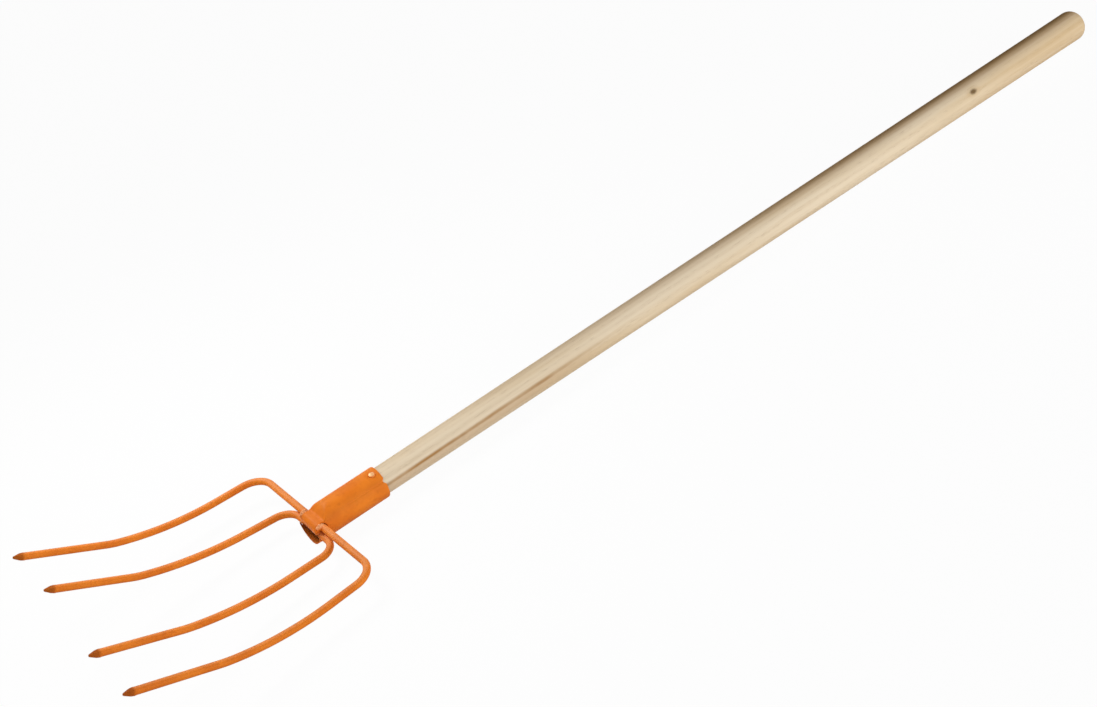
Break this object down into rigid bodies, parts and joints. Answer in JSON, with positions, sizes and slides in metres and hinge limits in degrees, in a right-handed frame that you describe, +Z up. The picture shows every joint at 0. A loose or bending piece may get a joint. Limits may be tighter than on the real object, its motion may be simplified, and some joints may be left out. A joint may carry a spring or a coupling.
{
  "type": "pitchfork",
  "caption": "Pitchfork with a straight wooden handle, a rolled sheet steel socket pressed over two bent rods, and pointed tines that curve up, painted orange.",
  "frame": {"origin": "On the ground plane under the middle of the fork's length and width. The handle's thick end is the lowest part and touches Z = 0.", "axes": "+X runs along the handle's axis from the butt to the tips of the tines. +Y is the fork's right side, seen from the butt with the tines curving up. +Z is up, the side that the tines curve towards."},
  "size_m": [1.486, 0.2854, 0.0912],
  "materials": {
    "ash_wood": "bare sanded ash with fine straight grain",
    "orange_paint": "thin orange enamel on steel, slightly worn",
    "nail_zinc": "bright steel nail head"
  },
  "bodies": {
    "root": {"handle": "ash_wood", "socket": "orange_paint", "fixing_nail": "nail_zinc", "outer_tines": "orange_paint", "inner_tines": "orange_paint", "outer_weld_left": "orange_paint", "outer_weld_right": "orange_paint", "inner_weld_left": "orange_paint", "inner_weld_right": "orange_paint"}
  },
  "joints": []
}
